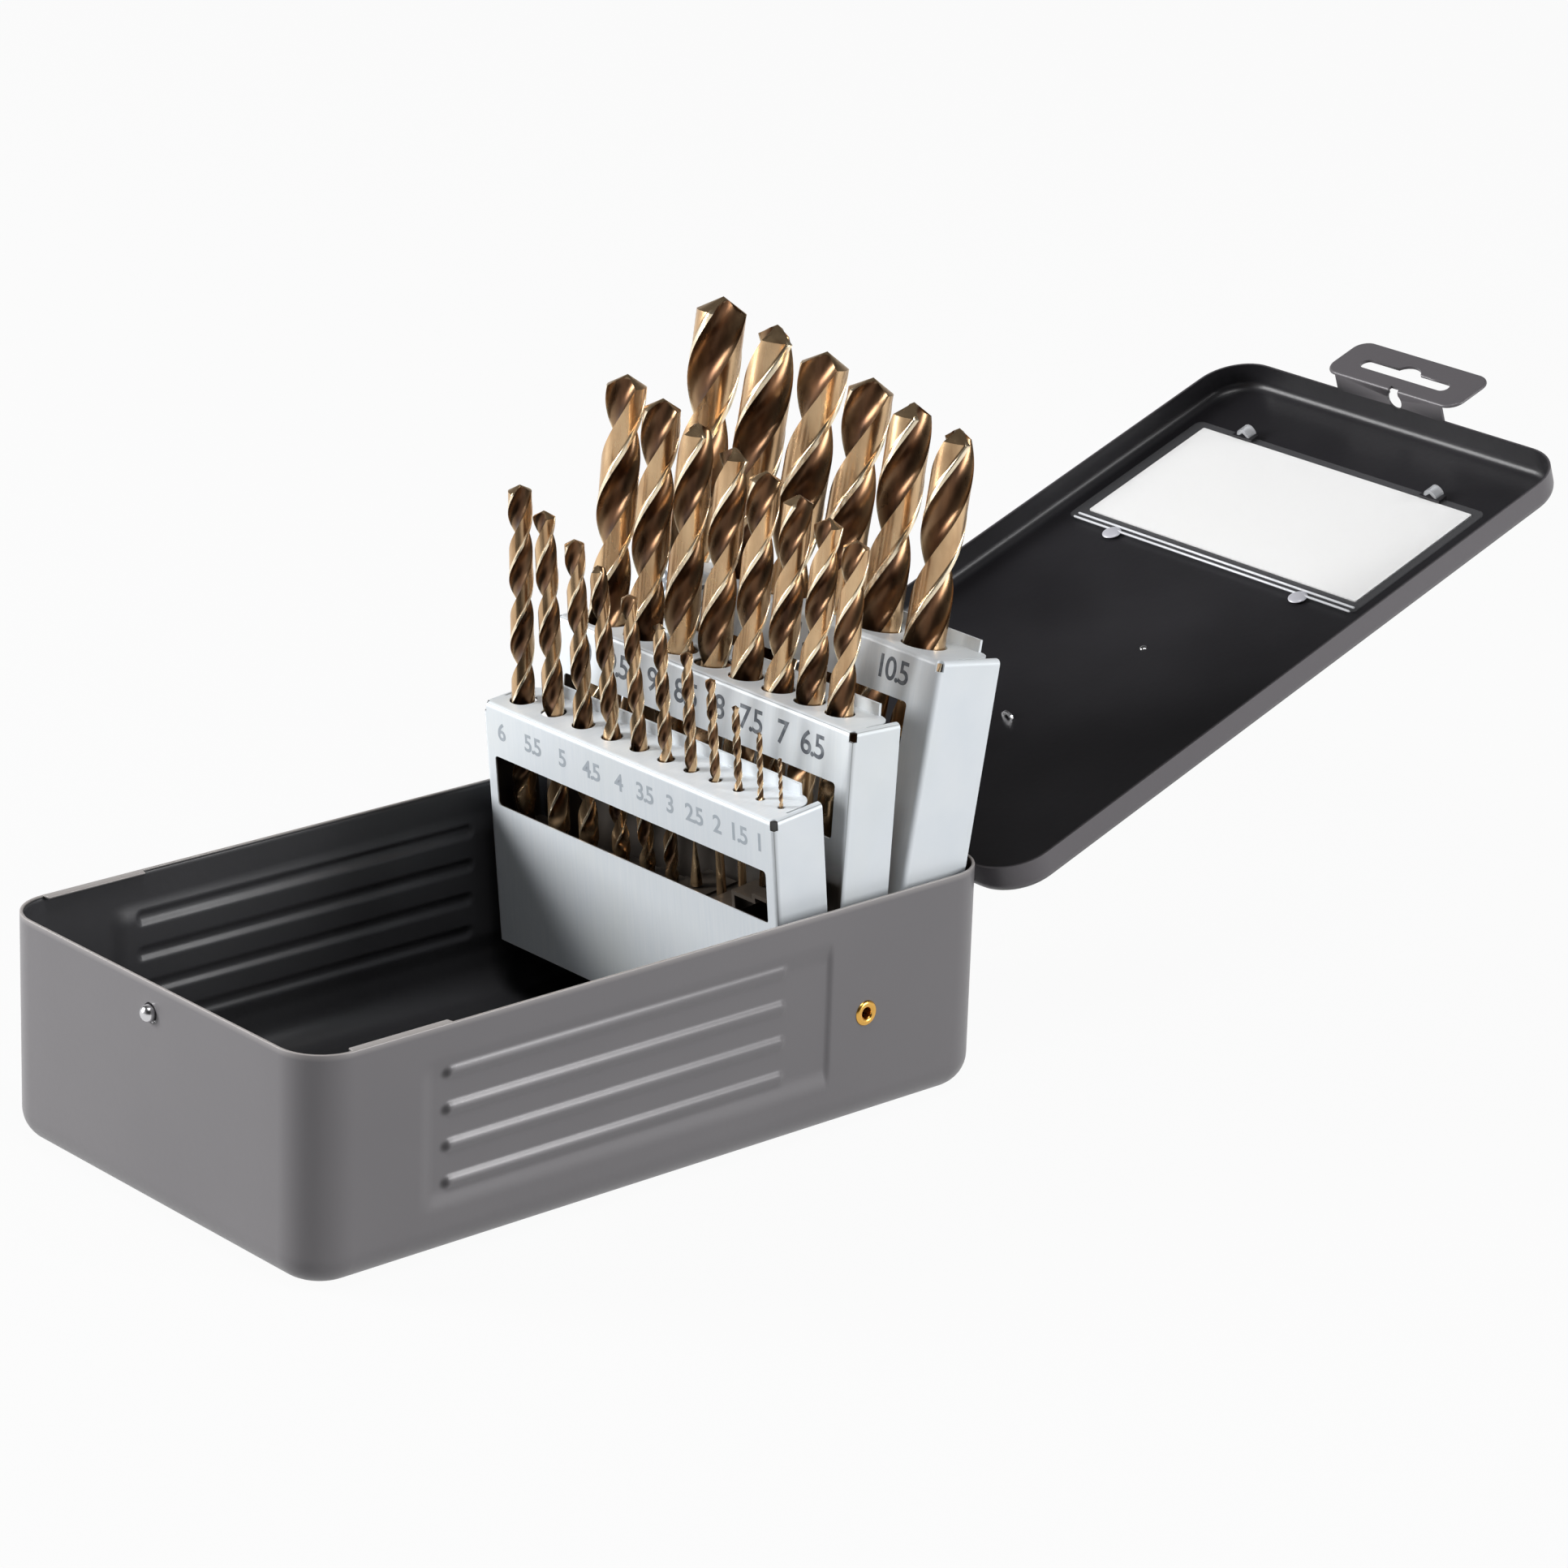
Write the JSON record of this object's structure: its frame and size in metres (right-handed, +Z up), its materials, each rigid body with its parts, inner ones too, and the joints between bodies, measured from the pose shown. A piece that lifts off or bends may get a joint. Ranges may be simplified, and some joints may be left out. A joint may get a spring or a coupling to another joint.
{
  "type": "drill bit case",
  "caption": "Open sheet-steel drill index: rounded box with hinged lid and hang tab, three fanned drill banks on one pivot, twist drills standing in size order.",
  "frame": {"origin": "centre of the base's flat underside", "axes": "+Z up, -Y the front with the latch, +Y the hinge side, X across the case and along the hinge"},
  "size_m": [0.122, 0.4232, 0.1749],
  "materials": {
    "case_paint": "semi-gloss dark grey enamel on pressed steel",
    "zinc_sheet": "bright zinc-plated bent sheet",
    "bronze_steel": "bronze-oxide high-speed steel",
    "bright_steel": "polished plated steel",
    "brass_eyelet": "rolled brass",
    "white_card": "plain white card",
    "clear_film": "clear plastic film"
  },
  "bodies": {
    "case": {"base_case": "case_paint", "hinge_leaf_base": "case_paint", "hinge_pin": "bright_steel", "latch_anchor": "bright_steel", "pivot_eyelets": "brass_eyelet", "pivot_spacers": "bright_steel"},
    "lid": {"lid": "case_paint", "hinge_leaf_lid": "case_paint", "size_chart_card": "white_card", "chart_film": "clear_film", "chart_studs": "bright_steel"},
    "latch": {"latch_spring": "bright_steel", "latch_button": "bright_steel"},
    "bank_a": {"bank_a_shell": "zinc_sheet", "bank_a_shelf": "zinc_sheet"},
    "drill_6_0": {"drill_6_0": "bronze_steel"},
    "drill_5_5": {"drill_5_5": "bronze_steel"},
    "drill_5_0": {"drill_5_0": "bronze_steel"},
    "drill_4_5": {"drill_4_5": "bronze_steel"},
    "drill_4_0": {"drill_4_0": "bronze_steel"},
    "drill_3_5": {"drill_3_5": "bronze_steel"},
    "drill_3_0": {"drill_3_0": "bronze_steel"},
    "drill_2_5": {"drill_2_5": "bronze_steel"},
    "drill_2_0": {"drill_2_0": "bronze_steel"},
    "drill_1_5": {"drill_1_5": "bronze_steel"},
    "drill_1_0": {"drill_1_0": "bronze_steel"},
    "bank_b": {"bank_b_shell": "zinc_sheet", "bank_b_shelf": "zinc_sheet"},
    "drill_10_0": {"drill_10_0": "bronze_steel"},
    "drill_9_5": {"drill_9_5": "bronze_steel"},
    "drill_9_0": {"drill_9_0": "bronze_steel"},
    "drill_8_5": {"drill_8_5": "bronze_steel"},
    "drill_8_0": {"drill_8_0": "bronze_steel"},
    "drill_7_5": {"drill_7_5": "bronze_steel"},
    "drill_7_0": {"drill_7_0": "bronze_steel"},
    "drill_6_5": {"drill_6_5": "bronze_steel"},
    "bank_c": {"bank_c_shell": "zinc_sheet", "bank_c_shelf": "zinc_sheet"},
    "drill_13_0": {"drill_13_0": "bronze_steel"},
    "drill_12_5": {"drill_12_5": "bronze_steel"},
    "drill_12_0": {"drill_12_0": "bronze_steel"},
    "drill_11_5": {"drill_11_5": "bronze_steel"},
    "drill_11_0": {"drill_11_0": "bronze_steel"},
    "drill_10_5": {"drill_10_5": "bronze_steel"}
  },
  "joints": [
    {"name": "lid_hinge", "type": "hinge", "parent": "case", "child": "lid", "pos_m": [0, 0.1062, 0.052], "axis": [1, 0, 0], "range_deg": [0, 160]},
    {"name": "latch_press", "type": "hinge", "parent": "case", "child": "latch", "pos_m": [0, -0.10225, 0.022], "axis": [-1, 0, 0], "range_deg": [0, 4.5], "stiffness_Nm_per_rad": 0.4, "springref_deg": -2.86},
    {"name": "bank_a_fold", "type": "hinge", "parent": "case", "child": "bank_a", "pos_m": [0, 0.0626, 0.0286], "axis": [1, 0, 0], "range_deg": [0, 89]},
    {"name": "drill_6_0_lift", "type": "slide", "parent": "bank_a", "child": "drill_6_0", "axis": [-0.0663, 0.0956, -0.9932], "range_m": [-0.0396, 0]},
    {"name": "drill_5_5_lift", "type": "slide", "parent": "bank_a", "child": "drill_5_5", "axis": [-0.014, 0.0958, -0.9953], "range_m": [-0.0441, 0]},
    {"name": "drill_5_0_lift", "type": "slide", "parent": "bank_a", "child": "drill_5_0", "axis": [-0.0105, 0.0958, -0.9953], "range_m": [-0.0416, 0]},
    {"name": "drill_4_5_lift", "type": "slide", "parent": "bank_a", "child": "drill_4_5", "axis": [0.0419, 0.0958, -0.9945], "range_m": [-0.04, 0]},
    {"name": "drill_4_0_lift", "type": "slide", "parent": "bank_a", "child": "drill_4_0", "axis": [0.0262, 0.0958, -0.9951], "range_m": [-0.0395, 0]},
    {"name": "drill_3_5_lift", "type": "slide", "parent": "bank_a", "child": "drill_3_5", "axis": [0, 0.0958, -0.9954], "range_m": [-0.039, 0]},
    {"name": "drill_3_0_lift", "type": "slide", "parent": "bank_a", "child": "drill_3_0", "axis": [-0.0087, 0.0958, -0.9954], "range_m": [-0.0345, 0]},
    {"name": "drill_2_5_lift", "type": "slide", "parent": "bank_a", "child": "drill_2_5", "axis": [0.0087, 0.0958, -0.9954], "range_m": [-0.035, 0]},
    {"name": "drill_2_0_lift", "type": "slide", "parent": "bank_a", "child": "drill_2_0", "axis": [-0.0087, 0.0958, -0.9954], "range_m": [-0.0314, 0]},
    {"name": "drill_1_5_lift", "type": "slide", "parent": "bank_a", "child": "drill_1_5", "axis": [-0.0349, 0.0958, -0.9948], "range_m": [-0.0269, 0]},
    {"name": "drill_1_0_lift", "type": "slide", "parent": "bank_a", "child": "drill_1_0", "axis": [-0.0175, 0.0958, -0.9952], "range_m": [-0.0254, 0]},
    {"name": "bank_b_fold", "type": "hinge", "parent": "case", "child": "bank_b", "pos_m": [0, 0.0626, 0.0286], "axis": [1, 0, 0], "range_deg": [0, 92.6]},
    {"name": "drill_10_0_lift", "type": "slide", "parent": "bank_b", "child": "drill_10_0", "axis": [-0.0105, -0.0628, -0.998], "range_m": [-0.0741, 0]},
    {"name": "drill_9_5_lift", "type": "slide", "parent": "bank_b", "child": "drill_9_5", "axis": [-0.0105, -0.0628, -0.998], "range_m": [-0.069, 0]},
    {"name": "drill_9_0_lift", "type": "slide", "parent": "bank_b", "child": "drill_9_0", "axis": [-0.014, -0.0628, -0.9979], "range_m": [-0.0719, 0]},
    {"name": "drill_8_5_lift", "type": "slide", "parent": "bank_b", "child": "drill_8_5", "axis": [-0.0314, -0.0628, -0.9975], "range_m": [-0.0668, 0]},
    {"name": "drill_8_0_lift", "type": "slide", "parent": "bank_b", "child": "drill_8_0", "axis": [-0.0262, -0.0628, -0.9977], "range_m": [-0.0696, 0]},
    {"name": "drill_7_5_lift", "type": "slide", "parent": "bank_b", "child": "drill_7_5", "axis": [-0.0349, -0.0628, -0.9974], "range_m": [-0.0645, 0]},
    {"name": "drill_7_0_lift", "type": "slide", "parent": "bank_b", "child": "drill_7_0", "axis": [-0.0349, -0.0628, -0.9974], "range_m": [-0.0674, 0]},
    {"name": "drill_6_5_lift", "type": "slide", "parent": "bank_b", "child": "drill_6_5", "axis": [-0.0209, -0.0628, -0.9978], "range_m": [-0.0623, 0]},
    {"name": "bank_c_fold", "type": "hinge", "parent": "case", "child": "bank_c", "pos_m": [0, 0.0626, 0.0286], "axis": [1, 0, 0], "range_deg": [0, 99.5]},
    {"name": "drill_13_0_lift", "type": "slide", "parent": "bank_c", "child": "drill_13_0", "axis": [0.0174, -0.1495, -0.9886], "range_m": [-0.0893, 0]},
    {"name": "drill_12_5_lift", "type": "slide", "parent": "bank_c", "child": "drill_12_5", "axis": [-0.0209, -0.1495, -0.9885], "range_m": [-0.0918, 0]},
    {"name": "drill_12_0_lift", "type": "slide", "parent": "bank_c", "child": "drill_12_0", "axis": [-0.0384, -0.1494, -0.988], "range_m": [-0.0943, 0]},
    {"name": "drill_11_5_lift", "type": "slide", "parent": "bank_c", "child": "drill_11_5", "axis": [-0.0384, -0.1494, -0.988], "range_m": [-0.0878, 0]},
    {"name": "drill_11_0_lift", "type": "slide", "parent": "bank_c", "child": "drill_11_0", "axis": [-0.0105, -0.1495, -0.9887], "range_m": [-0.0903, 0]},
    {"name": "drill_10_5_lift", "type": "slide", "parent": "bank_c", "child": "drill_10_5", "axis": [-0.014, -0.1495, -0.9887], "range_m": [-0.0838, 0]}
  ],
  "couplings": [
    {"joint": "bank_a_fold", "follows": "lid_hinge", "ratio": 0.55625},
    {"joint": "bank_b_fold", "follows": "lid_hinge", "ratio": 0.57875},
    {"joint": "bank_c_fold", "follows": "lid_hinge", "ratio": 0.62187}
  ]
}
